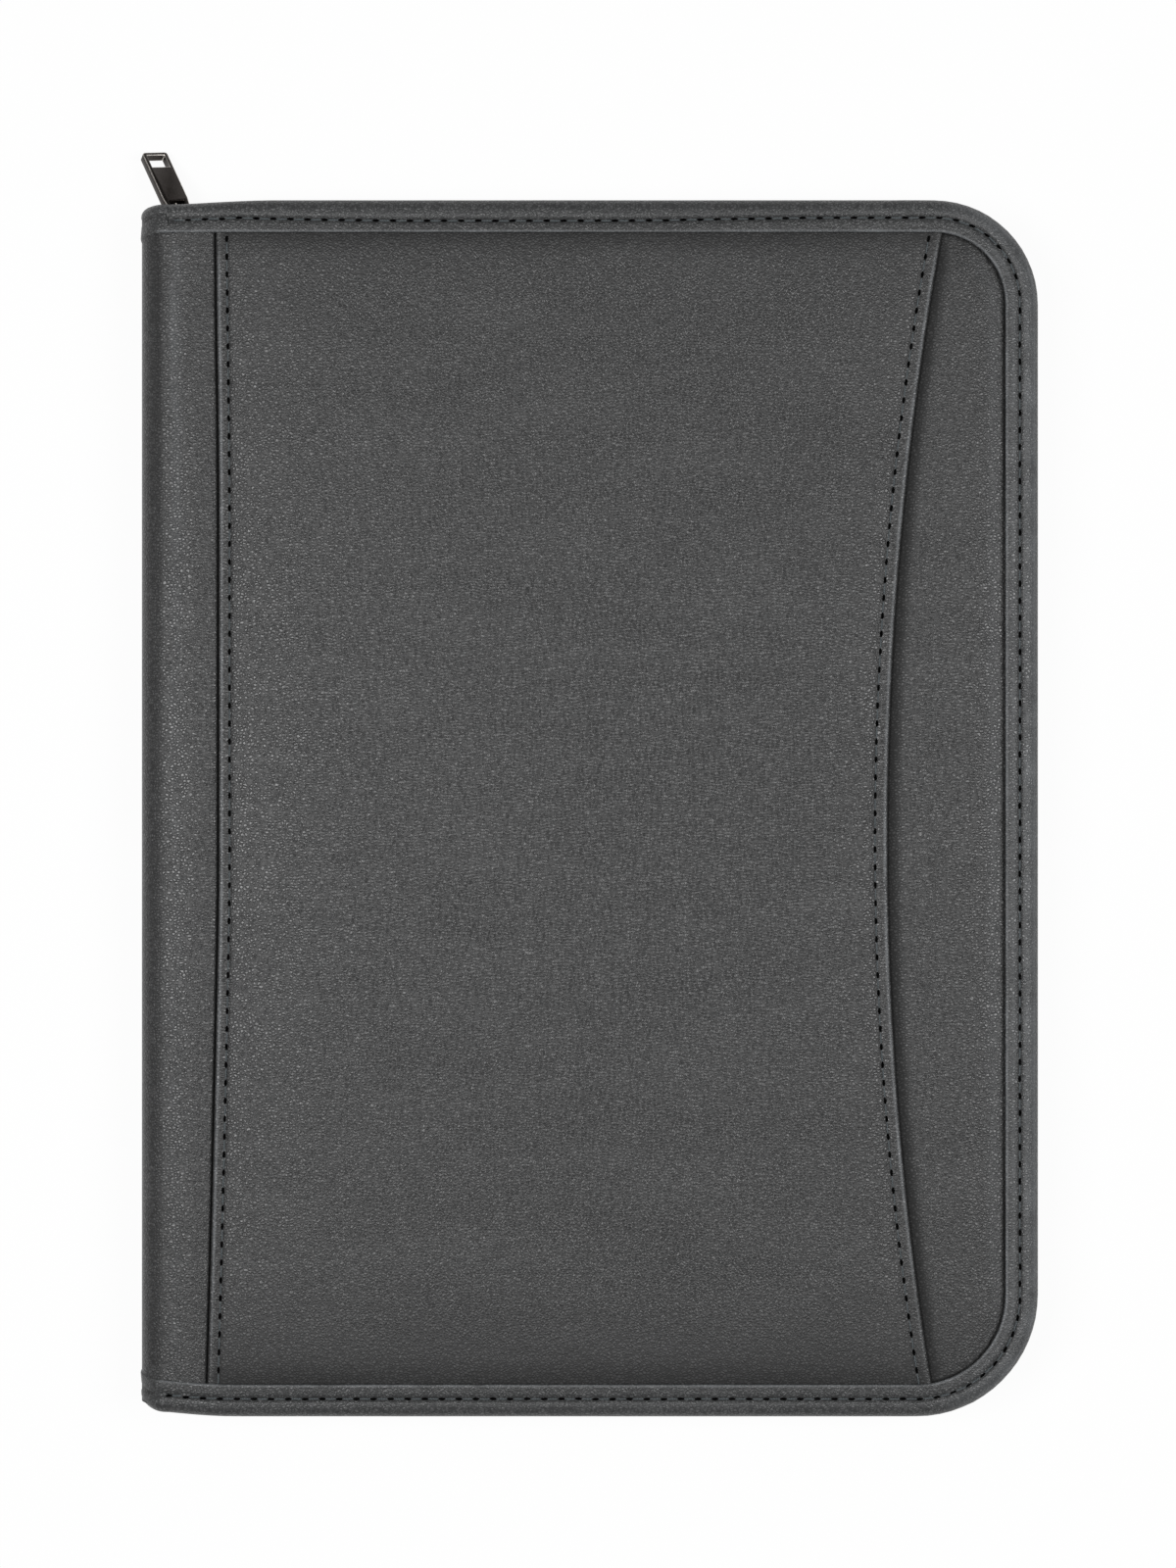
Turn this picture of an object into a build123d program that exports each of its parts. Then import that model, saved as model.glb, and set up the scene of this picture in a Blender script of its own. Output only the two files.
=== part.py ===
import math
import os

from build123d import *

# Writing pad: its sheet sets the size of the case
pad_width = 216.0
pad_height = 280.0

# Closed case, seen from the front: spine on the left, zipper on the other three sides
side_room = 37.5
end_room = 63.0
case_width = pad_width + side_room
case_height = pad_height + end_room
case_thickness = 26.0
top_corner_radius = 29.5
bottom_corner_radius = 34.5

# Thicknesses of the sheet materials
skin = 0.9
foam = 1.5
board = 1.4
lining = 0.8
tape = 0.6
pocket_sheet = 0.6
stiffener = 1.2

# Fits: sewn layers inside the round of the binding, and bodies that move past each other
sewn_fit = 0.05
free_gap = 0.3

# Spine, edge binding and seams
spine_radius = 8.0
spine_setback = 1.5
binding_width = 9.0
binding_inner_width = 7.8
binding_tail_step = 0.7
spine_seam_offset = 22.0
seam_lap = 8.0
field_margin = 1.5
field_chamfer = 0.5

# Curved mouth of the front pocket, by its distance from the right side of the case
mouth_top_inset = 25.35
mouth_middle_inset = 42.45
mouth_bottom_inset = 28.55

# Zipper
zipper_inset = 9.0
tooth_pitch = 3.2
tooth_root = 2.0
tooth_tip = 1.0
tooth_thickness = 2.4
tooth_base = 2.2
tooth_reach = 0.8
cord_height = 0.7
cord_width = 1.4
stop_length = 1.2

# Zipper slider and its bail
slider_length = 9.6
slider_plate = 0.8
slider_flange = 0.8
slider_clearance = 0.25
slider_corner = 2.2
nose_length = 3.2
nose_half_width = 1.2
bail_length = 6.4
bail_width = 2.0
bail_bar = 1.0
bail_gap = 2.0

# Ring and pull tab: the tab hangs from the ring and its tip rests on the table
ring_wire = 1.0
ring_height = 7.6
ring_corner = 0.8
ring_run_x = 4.3
tab_length = 20.3
tab_tail = 2.8
tab_width = 7.8
tab_tail_width = 6.4
tab_shoulder = 2.5
tab_thickness = 2.5
tab_corner = 0.9
tab_rim = 1.1
tab_window_length = 4.6
tab_eye_length = 3.4
tab_eye_width = 4.8
tab_yaw = 25.7
tab_pitch = 25.0
tab_roll = 36.0
tab_overhang = 16.4

# Writing pad in its sleeve
pad_shift_y = -5.0
pad_sheets_thickness = 4.5
pad_board = 0.8
pad_strip = 0.3
pad_strip_lap = 16.0
sleeve_margin = 4.0
sleeve_height = 200.0
sleeve_corner = 10.0

# Pen loop in the gutter beside the spine
loop_bore = 10.0
loop_wall = 0.5
loop_length = 24.0
loop_rise = 9.0
gutter_gap = 1.5

# Pockets inside the front cover
document_low = 190.0
document_high = 215.0
slot_width = 104.0
slot_height = 58.0
slot_step = 18.0
pocket_margin = 4.0
document_clearance = 2.0

half_width = case_width / 2
half_height = case_height / 2
document_width = pad_width - document_clearance

# Levels through the back cover, from the table upwards
back_panel_z = skin
back_foam_z = back_panel_z + skin
back_board_z = back_foam_z + foam
back_lining_z = back_board_z + board
back_tape_z = back_lining_z + lining
back_leg_z = back_tape_z + tape
back_top = back_leg_z + skin

# Levels through the front cover, from its face downwards
front_pocket_z = case_thickness - 2 * skin
front_base_z = front_pocket_z - skin
front_foam_z = front_base_z - foam
front_board_z = front_foam_z - board
front_lining_z = front_board_z - lining
front_tape_z = front_lining_z - tape
front_bottom = front_tape_z - skin
front_tail_top = case_thickness - binding_tail_step

# Fold lines, seams and the plane of the zipper
hinge_x = -half_width + spine_radius
back_hinge_z = back_foam_z + spine_radius
front_hinge_z = front_pocket_z - spine_radius
seam_x = -half_width + spine_seam_offset
wrap_x = seam_x + seam_lap
cover_left = hinge_x + free_gap
zipper_y = half_height - zipper_inset
zipper_z = (back_top + front_bottom) / 2
tape_edge = tooth_base + cord_height


def cover_outline(inset, left):
    """Outline of a cover drawn in by inset on its three free sides, with a straight left edge."""
    right = half_width - inset
    top = half_height - inset
    shape = Pos((left + right) / 2, 0) * Rectangle(right - left, 2 * top)
    corner = shape.vertices().group_by(Axis.X)[-1].sort_by(Axis.Y)[-1]
    shape = fillet(corner, top_corner_radius - inset)
    corner = shape.vertices().group_by(Axis.X)[-1].sort_by(Axis.Y)[0]
    return fillet(corner, bottom_corner_radius - inset)


def layer(inset, left, low, high):
    """One flat sheet of a cover between two levels."""
    return Pos(0, 0, low) * extrude(cover_outline(inset, left), high - low)


def rim(outer, inner, left, low, high):
    """Band that follows the three free sides of a cover between two insets."""
    band = cover_outline(outer, left) - cover_outline(inner, left)
    return Pos(0, 0, low) * extrude(band, high - low)


def edge_path(inset, left):
    """Path along the three free sides, from the spine end of the top to the spine end of the bottom."""
    right = half_width - inset
    top = half_height - inset
    upper = top_corner_radius - inset
    lower = bottom_corner_radius - inset
    with BuildLine() as path:
        Line((left, top), (right - upper, top))
        JernArc((right - upper, top), (1, 0), upper, -90)
        Line((right, top - upper), (right, lower - top))
        JernArc((right, lower - top), (0, -1), lower, -90)
        Line((right - lower, -top), (left, -top))
    return path.wire()


def binding_section(low, high, top_leg, bottom_leg, x, side):
    """U section of the binding: a round nose at the edge and one leg on each face of the cover."""
    radius = (high - low) / 2
    middle = (high + low) / 2
    roof = radius - skin
    facet = roof * math.tan(math.radians(22.5))
    start = Plane(origin=(x, side * half_height, 0), x_dir=(0, -side, 0), z_dir=(-side, 0, 0))
    with BuildSketch(start) as section:
        with BuildLine():
            Polyline((radius, high), (top_leg, high), (top_leg, high - skin), (radius - facet, high - skin),
                     (skin, middle + facet), (skin, middle - facet), (radius - facet, low + skin),
                     (bottom_leg, low + skin), (bottom_leg, low), (radius, low))
            ThreePointArc((radius, low), (0, middle), (radius, high))
        make_face()
    return section.sketch


def binding(low, high, tail_low, tail_high, top_leg, bottom_leg):
    """Binding of one cover: the swept run, and two tails that step down onto the spine panel."""
    run = sweep(binding_section(low, high, top_leg, bottom_leg, seam_x, 1), path=edge_path(0, seam_x))
    for side in (1, -1):
        tail = binding_section(tail_low, tail_high, top_leg, bottom_leg, hinge_x, side)
        run += extrude(tail, seam_x - hinge_x, dir=(1, 0, 0))
    return run


def nose_inset(low, high, bottom, top):
    """How far a layer is drawn in so that it fits in the round nose of a binding from bottom to top."""
    radius = (top - bottom) / 2
    middle = (top + bottom) / 2
    reach = max(abs(low - middle), abs(high - middle))
    room = max((radius - skin) ** 2 - reach ** 2, 0)
    return radius - math.sqrt(room) + sewn_fit


def back_inset(low, high):
    run = nose_inset(low, high, 0, back_top)
    return max(run, nose_inset(low, high, binding_tail_step, back_top))


def front_inset(low, high):
    run = nose_inset(low, high, front_bottom, case_thickness)
    return max(run, nose_inset(low, high, front_bottom, front_tail_top))


def block(x, y, z):
    """Box from three (low, high) pairs."""
    size = [high - low for low, high in (x, y, z)]
    centre = [(high + low) / 2 for low, high in (x, y, z)]
    return Pos(*centre) * Box(*size)


def spine_profile(radius, y):
    """Section of the case on the spine side: rounded at the two folds, square where the wrap ends."""
    low = back_hinge_z - radius
    high = front_hinge_z + radius
    left = hinge_x - radius
    plane = Plane(origin=(0, y, 0), x_dir=(1, 0, 0), z_dir=(0, -1, 0))
    shape = Pos((left + wrap_x) / 2, (low + high) / 2) * Rectangle(wrap_x - left, high - low)
    return plane * fillet(shape.vertices().group_by(Axis.X)[0], radius)


def spine_band(outer, inner, reach, low, high):
    """C-shaped sheet round the spine between two radii, from y = low to y = high, cut off at x = reach."""
    band = extrude(spine_profile(outer, high) - spine_profile(inner, high), high - low, dir=(0, -1, 0))
    return band & block((-case_width, reach), (low, high), (0, case_thickness))


def save(name, shape):
    export_step(shape, os.path.join("parts", name + ".step"))


os.makedirs("parts", exist_ok=True)

# Back cover: padded panel with a raised field, foam, board and lining inside the binding
panel_inset = back_inset(back_panel_z, back_foam_z)
field_inset = binding_width + field_margin
field_left = seam_x + field_margin
back_panel = layer(panel_inset, seam_x, back_panel_z, back_foam_z)
back_field = layer(field_inset, field_left, 0, back_foam_z)
back_field = chamfer(back_field.faces().sort_by(Axis.Z)[0].edges(), field_chamfer)
back_panel += back_field
back_panel -= layer(field_inset + skin, field_left + skin, back_panel_z, back_foam_z)
save("back_panel", back_panel)

filling_inset = back_inset(back_foam_z, back_board_z)
back_foam = layer(field_inset + skin, field_left + skin, back_panel_z, back_foam_z)
back_foam += layer(filling_inset, wrap_x + free_gap, back_foam_z, back_board_z)
back_foam += layer(filling_inset, cover_left, back_foam_z + skin, back_board_z)
save("back_foam", back_foam)

save("back_board", layer(back_inset(back_board_z, back_lining_z), cover_left, back_board_z, back_lining_z))
save("back_lining", layer(back_inset(back_lining_z, back_tape_z), cover_left, back_lining_z, back_tape_z))
save("back_binding", binding(0, back_top, binding_tail_step, back_top, binding_inner_width, binding_width))

# Front cover: base panel, slash-pocket panel over it, foam, board and lining inside the binding
base_inset = front_inset(front_base_z, front_pocket_z)
save("front_base_panel", layer(base_inset, wrap_x + free_gap, front_base_z, front_pocket_z))

mouth_top_x = half_width - mouth_top_inset
mouth_bottom_x = half_width - mouth_bottom_inset
with BuildSketch() as pocket_area:
    with BuildLine():
        ThreePointArc((mouth_top_x, half_height), (half_width - mouth_middle_inset, 0),
                      (mouth_bottom_x, -half_height))
        Polyline((mouth_bottom_x, -half_height), (seam_x, -half_height), (seam_x, half_height),
                 (mouth_top_x, half_height))
    make_face()
pocket_top_z = front_pocket_z + skin
pocket_inset = front_inset(front_pocket_z, pocket_top_z)
pocket_outline = cover_outline(pocket_inset, seam_x) & pocket_area.sketch
save("front_pocket_panel", Pos(0, 0, front_pocket_z) * extrude(pocket_outline, skin))

save("front_foam", layer(front_inset(front_foam_z, front_base_z), cover_left, front_foam_z, front_base_z))
save("front_board", layer(front_inset(front_board_z, front_foam_z), cover_left, front_board_z, front_foam_z))
save("front_lining", layer(front_inset(front_lining_z, front_board_z), cover_left, front_lining_z, front_board_z))
save("front_binding", binding(front_bottom, case_thickness, front_bottom, front_tail_top,
                              binding_width, binding_inner_width))

# Spine: one panel wrapped from cover to cover, a stiffener, a lining and the bound ends
spine_end = half_height - spine_setback
spine_inner = spine_radius - skin
lining_outer = spine_inner - stiffener
lining_inner = lining_outer - lining
panel_end = half_height - front_inset(front_base_z, front_pocket_z)
panel_end = min(panel_end, spine_end - skin)
save("spine_panel", spine_band(spine_radius, spine_inner, wrap_x, -panel_end, panel_end))
save("spine_board", block((hinge_x - spine_inner, hinge_x - lining_outer), (-panel_end, panel_end),
                          (back_hinge_z, front_hinge_z)))
save("spine_lining", spine_band(lining_outer, lining_inner, hinge_x, -panel_end, panel_end))

outer_low = half_height - binding_width
inner_low = half_height - binding_inner_width
spine_binding = spine_band(spine_radius + skin, spine_radius, hinge_x, outer_low, spine_end)
spine_binding += spine_band(lining_inner, lining_inner - skin, hinge_x, inner_low, spine_end)
spine_binding += spine_band(spine_radius + skin, lining_inner - skin, hinge_x, spine_end - skin, spine_end)
save("spine_binding_upper", spine_binding)
save("spine_binding_lower", mirror(spine_binding, about=Plane.XZ))

# Zipper tapes: each has a flange sewn under the binding and a wall that carries the teeth
tape_face = zipper_inset - tape / 2
tape_back = zipper_inset + tape / 2
back_tape = rim(back_inset(back_tape_z, back_leg_z), tape_back, cover_left, back_tape_z, back_leg_z)
back_tape += rim(tape_face, tape_back, cover_left, back_tape_z, zipper_z - tape_edge)
save("back_zipper_tape", back_tape)
front_tape = rim(front_inset(front_tape_z, front_lining_z), tape_back, cover_left, front_tape_z, front_lining_z)
front_tape += rim(tape_face, tape_back, cover_left, zipper_z + tape_edge, front_lining_z)
save("front_zipper_tape", front_tape)

# Teeth: two meshed rows standing on the cords of the tapes, half a pitch apart
stop_left = cover_left + free_gap
slider_x = stop_left + stop_length + free_gap + slider_length / 2
chain_left = slider_x + slider_length / 2 + free_gap
chain_path = edge_path(zipper_inset, chain_left)
tooth_count = math.floor(chain_path.length / tooth_pitch) - 1
tooth_plane = Plane(origin=(0, tooth_thickness / 2, 0), x_dir=(1, 0, 0), z_dir=(0, -1, 0))
tooth_shape = Polygon((-tooth_root / 2, -tooth_base), (tooth_root / 2, -tooth_base),
                      (tooth_tip / 2, tooth_reach), (-tooth_tip / 2, tooth_reach), align=None)
lower_tooth = extrude(tooth_plane * tooth_shape, tooth_thickness, dir=(0, -1, 0))
upper_tooth = mirror(lower_tooth, about=Plane.XY)


def tooth_row(tooth, first):
    row = []
    for index in range(tooth_count):
        distance = first + index * tooth_pitch
        point = chain_path.position_at(distance, position_mode=PositionMode.LENGTH)
        along = chain_path.tangent_at(distance, position_mode=PositionMode.LENGTH)
        seat = Plane(origin=point + Vector(0, 0, zipper_z), x_dir=along, z_dir=(0, 0, 1))
        row.append(seat.location * tooth)
    return row


cord_outer = zipper_inset - cord_width / 2
cord_inner = zipper_inset + cord_width / 2
lower_cord = rim(cord_outer, cord_inner, chain_left, zipper_z - tape_edge, zipper_z - tooth_base)
upper_cord = rim(cord_outer, cord_inner, chain_left, zipper_z + tooth_base, zipper_z + tape_edge)
save("back_zipper_teeth", Compound([lower_cord] + tooth_row(lower_tooth, tooth_root)))
save("front_zipper_teeth", Compound([upper_cord] + tooth_row(upper_tooth, tooth_root + tooth_pitch / 2)))

# End stops clamped on each tape, one at the top and one at the bottom of the spine side
stop_x = (stop_left, stop_left + stop_length)
stop_y = (zipper_y - tooth_thickness / 2, zipper_y + tooth_thickness / 2)
lower_stop = block(stop_x, stop_y, (zipper_z - tape_edge, zipper_z - cord_height))
upper_stop = block(stop_x, stop_y, (zipper_z + cord_height, zipper_z + tape_edge))
save("back_zipper_stops", Compound([lower_stop, mirror(lower_stop, about=Plane.XZ)]))
save("front_zipper_stops", Compound([upper_stop, mirror(upper_stop, about=Plane.XZ)]))

# Slider: two plates joined by the nose that parts the rows, with flanges that hold the tapes in
channel_half = tooth_thickness / 2 + slider_clearance
channel_reach = tape_edge + free_gap
slider_half = channel_reach + slider_flange
plate_y = channel_half + slider_plate
slit_half = tape / 2 + free_gap
plates = Box(slider_length, 2 * plate_y, 2 * slider_half)
plates = fillet(plates.edges().filter_by(Axis.Y), slider_corner)
plates -= Box(slider_length, 2 * channel_half, 2 * channel_reach)
plates -= Box(slider_length, 2 * slit_half, 2 * slider_half)
nose_plane = Plane(origin=(0, channel_half, 0), x_dir=(1, 0, 0), z_dir=(0, -1, 0))
nose_tip = -slider_length / 2 + slider_plate
nose_shape = Polygon((nose_tip, 0), (nose_tip + nose_length, nose_half_width),
                     (nose_tip + nose_length, -nose_half_width), align=None)
plates += extrude(nose_plane * nose_shape, 2 * channel_half, dir=(0, -1, 0))
save("slider_body", Pos(slider_x, zipper_y, zipper_z) * plates)

bail_y = zipper_y + plate_y
bail_outer = Pos(0, (bail_gap + bail_bar) / 2) * Rectangle(bail_length, bail_gap + bail_bar)
bail_outer = fillet(bail_outer.vertices().group_by(Axis.Y)[-1], bail_bar)
bail_inner = Pos(0, bail_gap / 2) * Rectangle(bail_length - 2 * bail_bar, bail_gap)
bail = extrude(bail_outer - bail_inner, bail_width)
save("slider_bail", Pos(slider_x, bail_y, zipper_z - bail_width / 2) * bail)

# Pull tab: its lowest corner stands on the table and its eye hangs on the ring
tab_along = Vector(0, 1, 0).rotate(Axis.X, -tab_pitch).rotate(Axis.Z, tab_yaw)
tab_across = Vector(1, 0, 0).rotate(Axis.Z, tab_yaw).rotate(Axis((0, 0, 0), tuple(tab_along)), tab_roll)
tab_normal = tab_across.cross(tab_along)
tab_drop = tab_length * abs(tab_along.Z) + tab_width / 2 * abs(tab_across.Z) + tab_thickness / 2 * tab_normal.Z
ring_start = Vector(slider_x - bail_length / 2 + bail_bar + ring_wire, bail_y + bail_gap / 2, zipper_z)
eye_y = half_height + tab_overhang - tab_length * tab_along.Y
ring_end = Vector(ring_start.X - ring_run_x, eye_y, tab_drop + free_gap)

ring_along = ring_end - ring_start
ring_side = ring_along.cross(Vector(0, 0, 1))
ring_plane = Plane(origin=(ring_start + ring_end) * 0.5, x_dir=ring_along, z_dir=ring_side)
ring_hole = RectangleRounded(ring_along.length - ring_wire, ring_height - ring_wire, ring_corner)
ring_face = offset(ring_hole, ring_wire) - ring_hole
save("pull_ring", ring_plane.location * extrude(ring_face, ring_wire / 2, both=True))

tab_outline = Polygon((-tab_tail, -tab_tail_width / 2), (tab_shoulder, -tab_width / 2),
                      (tab_length, -tab_width / 2), (tab_length, tab_width / 2),
                      (tab_shoulder, tab_width / 2), (-tab_tail, tab_tail_width / 2), align=None)
tab_ends = tab_outline.vertices().group_by(Axis.X)
tab_outline = fillet(tab_ends[0] + tab_ends[-1], tab_corner)
window_x = tab_length - tab_rim - tab_window_length / 2
tab_outline -= Pos(window_x, 0) * Rectangle(tab_window_length, tab_width - 2 * tab_rim)
tab_outline -= Rectangle(tab_eye_length, tab_eye_width)
tab_plane = Plane(origin=ring_end, x_dir=tab_along, z_dir=tab_normal)
save("pull_tab", tab_plane.location * extrude(tab_outline, tab_thickness / 2, both=True))

# Writing pad: its backing board is pushed into the sleeve, its sheets lie on top of the sleeve
loop_radius = loop_bore / 2 + loop_wall
pad_left = cover_left + 2 * loop_radius + 2 * gutter_gap
pad_x = (pad_left, pad_left + pad_width)
pad_y = (pad_shift_y - pad_height / 2, pad_shift_y + pad_height / 2)
sleeve_x = (pad_left - gutter_gap + sewn_fit, pad_left + pad_width + sleeve_margin)
sleeve_y = (pad_y[0] - sleeve_margin, pad_y[0] - sleeve_margin + sleeve_height)
sleeve_z = back_tape_z + pad_board
sheets_z = sleeve_z + pocket_sheet
sheets_top = sheets_z + pad_sheets_thickness
sleeve = block(sleeve_x, sleeve_y, (back_tape_z, sheets_z))
sleeve = fillet(sleeve.edges().filter_by(Axis.Z).group_by(Axis.Y)[0], sleeve_corner)
sleeve -= block((pad_x[0] - free_gap, pad_x[1] + free_gap), (pad_y[0] - free_gap, sleeve_y[1]),
                (back_tape_z, sleeve_z))
save("pad_sleeve", sleeve)
save("pad_backing_board", block(pad_x, pad_y, (back_tape_z, sleeve_z)))
save("pad_sheets", block(pad_x, pad_y, (sheets_z, sheets_top)))
strip = block(pad_x, (pad_y[1] - pad_strip_lap, pad_y[1] + pad_strip), (sheets_top, sheets_top + pad_strip))
strip += block(pad_x, (pad_y[1], pad_y[1] + pad_strip), (back_tape_z, sheets_top + pad_strip))
save("pad_binding_strip", strip)

# Pen loop: an elastic band rolled into a tube over a flat foot on the back lining
loop_x = cover_left + gutter_gap + loop_radius
loop_y = sleeve_y[1] + loop_rise
loop_z = back_tape_z + loop_radius
loop_plane = Plane(origin=(loop_x, loop_y + loop_length / 2, loop_z), x_dir=(1, 0, 0), z_dir=(0, -1, 0))
loop_foot = Pos(0, -loop_radius + loop_wall / 2) * Rectangle(2 * loop_radius, loop_wall)
loop_face = Circle(loop_radius) + loop_foot - Circle(loop_bore / 2)
save("pen_loop", extrude(loop_plane * loop_face, loop_length, dir=(0, -1, 0)))

# Pockets on the inside of the front cover: a slanted document pocket and three stepped card slots
pocket_z = front_lining_z - pocket_sheet
document_left = pad_left
document_bottom = -half_height + tape_back + pocket_margin
document = Polygon((document_left, document_bottom), (document_left + document_width, document_bottom),
                   (document_left + document_width, document_bottom + document_high),
                   (document_left, document_bottom + document_low), align=None)
document = fillet(document.vertices().group_by(Axis.Y)[0], bottom_corner_radius - tape_back - pocket_margin)
save("document_pocket", Pos(0, 0, pocket_z) * extrude(document, pocket_sheet))
slot_x = (document_left, document_left + slot_width)
slot_top = half_height - tape_back - pocket_margin
for step, name in enumerate(("card_slot_upper", "card_slot_middle", "card_slot_lower")):
    slot_y = slot_top - step * slot_step
    slot_z = pocket_z - step * pocket_sheet
    save(name, block(slot_x, (slot_y - slot_height, slot_y), (slot_z, slot_z + pocket_sheet)))
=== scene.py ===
import math

import bpy
from mathutils import Matrix, Vector, noise


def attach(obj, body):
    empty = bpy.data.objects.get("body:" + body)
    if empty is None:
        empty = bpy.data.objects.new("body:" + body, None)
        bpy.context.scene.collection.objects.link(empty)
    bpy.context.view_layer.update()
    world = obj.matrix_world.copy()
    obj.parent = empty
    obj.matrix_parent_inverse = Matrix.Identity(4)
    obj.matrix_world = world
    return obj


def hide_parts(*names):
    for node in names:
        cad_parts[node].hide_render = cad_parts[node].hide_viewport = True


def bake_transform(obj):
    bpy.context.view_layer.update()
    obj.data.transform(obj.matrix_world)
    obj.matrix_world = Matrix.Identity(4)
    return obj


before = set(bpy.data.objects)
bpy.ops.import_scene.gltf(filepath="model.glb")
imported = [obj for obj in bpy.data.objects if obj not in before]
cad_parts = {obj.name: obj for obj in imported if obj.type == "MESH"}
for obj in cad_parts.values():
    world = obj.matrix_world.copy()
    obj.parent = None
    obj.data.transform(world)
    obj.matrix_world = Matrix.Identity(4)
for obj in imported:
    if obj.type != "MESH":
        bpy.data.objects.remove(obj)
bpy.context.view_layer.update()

# Stiffeners: chipboard cut to the covers and a narrow strip for the spine, coloured near black, which also
# paints shade where their edges show at the spine.
# They lie glued between the padding and the lining and give the case its flat faces.


class Dye:
    """One socket of a material, so that sums over a surface read as plain sums."""

    def __init__(self, tree, socket=None):
        self.tree = tree
        self.socket = socket

    def add(self, kind, sockets, out=0, **settings):
        node = self.tree.nodes.new("ShaderNode" + kind)
        for name, value in settings.items():
            setattr(node, name, value)
        for name, value in sockets.items():
            if isinstance(value, Dye):
                self.tree.links.new(value.socket, node.inputs[name])
            else:
                node.inputs[name].default_value = value
        return Dye(self.tree, node.outputs[out])

    def sum(self, operation, first, second):
        return self.add("Math", {0: first, 1: second}, operation=operation)

    def __add__(self, other):
        return self.sum("ADD", self, other)

    def __mul__(self, other):
        return self.sum("MULTIPLY", self, other)

    def __rsub__(self, other):
        return self.sum("SUBTRACT", other, self)

    __radd__ = __add__
    __rmul__ = __mul__

    def between(self, low, high):
        """0 below low, 1 above high, with a soft step from one to the other."""
        sockets = {"Value": self, "From Min": low, "From Max": high}
        return self.add("MapRange", sockets, interpolation_type="SMOOTHSTEP")

    def blend(self, first, second):
        """Colour that goes from first to second as this value goes from 0 to 1."""
        return self.add("Mix", {0: self, 6: first, 7: second}, out=2, data_type="RGBA")


class Finish(Dye):
    """New material, whose textures lie on the piece's own Object coordinates."""

    def __init__(self, name):
        self.material = bpy.data.materials.new(name)
        self.material.use_nodes = True
        super().__init__(self.material.node_tree)
        self.place = self.add("TexCoord", {}, out="Object")

    def speckle(self, scale, detail=2.0, place=None, **settings):
        """Noise over the surface, with about scale specks to the metre."""
        sockets = {"Vector": place or self.place, "Scale": scale, "Detail": detail}
        return self.add("TexNoise", sockets, **settings)

    def stripe(self, direction, scale, wobble=0.0):
        """Even waves that follow one another in a direction."""
        sockets = {"Vector": self.place, "Scale": scale, "Distortion": wobble}
        return self.add("TexWave", sockets, bands_direction=direction)

    def end(self, colour, roughness, bump, depth, **fixed):
        """Joins the colour, roughness and relief to the shader and sets its other values."""
        shader = self.tree.nodes["Principled BSDF"]
        relief = self.add("Bump", {"Strength": 1.0, "Distance": depth, "Height": bump})
        for name, value in (("Base Color", colour), ("Roughness", roughness), ("Normal", relief)):
            self.tree.links.new(value.socket, shader.inputs[name])
        for name, value in fixed.items():
            shader.inputs[name.replace("_", " ")].default_value = value
        return self.material


def dress(piece, finish):
    piece.data.materials.clear()
    piece.data.materials.append(finish)


def chipboard(name, dark, light):
    """Pressed board: flecked colour and a slightly fibrous face."""
    dye = Finish(name)
    fleck = dye.speckle(900.0, 4.0)
    cloud = dye.speckle(40.0)
    colour = (0.6 * fleck + 0.4 * cloud).between(0.35, 0.65).blend(dark, light)
    return dye.end(colour, 0.75 + 0.2 * fleck, fleck, 0.00005)


# Near-black board colour: painted shade where the board edges show at the spine.
board_black_shade = chipboard("stiff_board", (0.014, 0.0135, 0.013, 1), (0.034, 0.033, 0.032, 1))
for board_node in ("back_board", "front_board", "spine_board"):
    dress(bpy.data.objects[board_node], board_black_shade)

# Back cover: one panel of black grained leatherette drawn over a thin sheet of foam.
# Its padded field is the face the case lies on, and its rim runs under the edge binding.

half_width = 126.75
half_height = 171.5
top_corner = 29.5
bottom_corner = 34.5
binding_width = 9.0
leg_width = 9.6
seam_x = -104.75
skin_inset = 3.6
skin_end = 167.8


def ease(value):
    value = min(max(value, 0.0), 1.0)
    return value * value * (3 - 2 * value)


def fade(distance, reach):
    """1 at no distance or less, falling softly to 0 at the reach."""
    return 1 - ease(distance / reach)


def hump(distance, width):
    """1 at no distance, falling to almost 0 at twice the width on both sides."""
    return math.exp(-(distance / width) ** 2)


def drift(*place):
    """Slow chance variation from place to place, always the same."""
    return noise.noise(Vector(place))


def corner_of(y):
    return top_corner if y > 0 else bottom_corner


def round_off(past, radius):
    """How far a rounded corner has fallen away at a distance past its start."""
    past = max(past, 0)
    return radius - math.sqrt(max(radius * radius - past * past, 0))


def right_edge(y, inset):
    """Where the outline, drawn in by inset, has its right side at a height y."""
    radius = max(corner_of(y) - inset, 0.01)
    return half_width - inset - round_off(abs(y) - (half_height - inset - radius), radius)


def depth_inside(x, y, inset):
    """How far a point lies inside the outline drawn in by inset, on its three free sides."""
    radius = max(corner_of(y) - inset, 0.01)
    reach_x = x - (half_width - inset - radius)
    reach_y = abs(y) - (half_height - inset - radius)
    if reach_x > 0 and reach_y > 0:
        return radius - math.hypot(reach_x, reach_y)
    return radius - max(reach_x, reach_y)


def spread(low, high, step, near_low, near_high=None):
    """Positions from low to high: the given distances from each end, and even steps between."""
    first = [low + distance for distance in near_low]
    last = [high - distance for distance in reversed(near_high or near_low)]
    count = max(round((last[0] - first[-1]) / step), 1)
    middle = [first[-1] + (last[0] - first[-1]) * index / count for index in range(1, count)]
    return first + middle + last


def close_mesh():
    bpy.ops.object.mode_set(mode="OBJECT")


def open_mesh():
    """Opens the active mesh for editing with all of it selected."""
    bpy.ops.object.mode_set(mode="EDIT")
    bpy.ops.mesh.select_all(action="SELECT")


def deselect():
    if bpy.context.object and bpy.context.object.mode == "EDIT":
        close_mesh()
    bpy.ops.object.select_all(action="DESELECT")


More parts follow.
